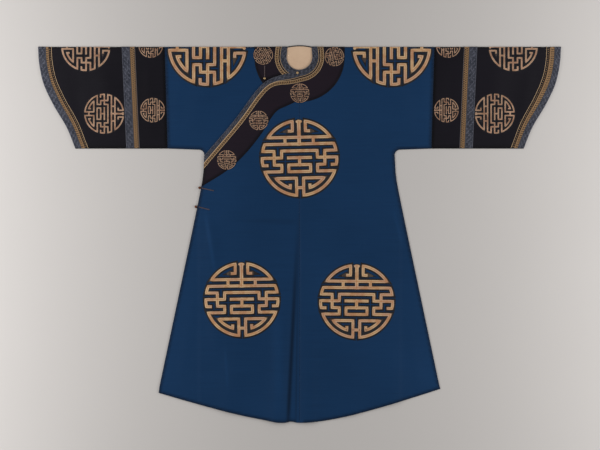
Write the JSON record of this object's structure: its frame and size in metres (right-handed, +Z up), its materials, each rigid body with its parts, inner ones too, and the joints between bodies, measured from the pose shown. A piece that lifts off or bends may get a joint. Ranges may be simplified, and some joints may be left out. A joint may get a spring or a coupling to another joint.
{
  "type": "robe laid flat",
  "caption": "T-shaped side-closing silk robe laid flat, front up, with wide sleeves, contrasting cuffs, neck facing and braid edging.",
  "frame": {"origin": "middle of the box that the robe fills, on the surface that it lies on", "axes": "+X towards the wearer's left along the sleeves, +Y from hem to shoulders, +Z up out of the front"},
  "size_m": [1.934, 1.396, 0.0193],
  "materials": {
    "silk": "deep blue silk tapestry weave, soft sheen, gold thread roundels",
    "satin": "near-black silk satin with small gold thread roundels",
    "ribbon": "blue-grey brocade ribbon, speckled",
    "braid": "dull gold woven braid, faintly dotted",
    "lining": "beige silk lining, slightly creased",
    "button": "small aged gilt brass ball",
    "toggle": "small darkened copper ball"
  },
  "bodies": {
    "root": {"left_body": "silk", "right_body": "silk", "right_overlap": "silk", "neck_lining": "lining", "back_neck_binding": "satin", "left_sleeve": "satin", "right_sleeve": "satin", "left_cuff": "satin", "right_cuff": "satin", "left_sleeve_braid": "braid", "right_sleeve_braid": "braid", "left_sleeve_ribbon": "ribbon", "right_sleeve_ribbon": "ribbon", "left_cuff_ribbon": "ribbon", "right_cuff_ribbon": "ribbon", "left_cuff_braid": "braid", "right_cuff_braid": "braid", "overlap_facing": "satin", "overlap_ribbon": "ribbon", "overlap_braid": "braid", "neck_facing": "satin", "neck_ribbon": "ribbon", "neck_braid": "braid", "neck_button": "button", "collar_button": "button", "underarm_button": "toggle", "waist_button": "toggle", "collar_loop": "braid", "underarm_loop": "braid", "waist_loop": "braid"}
  },
  "joints": []
}
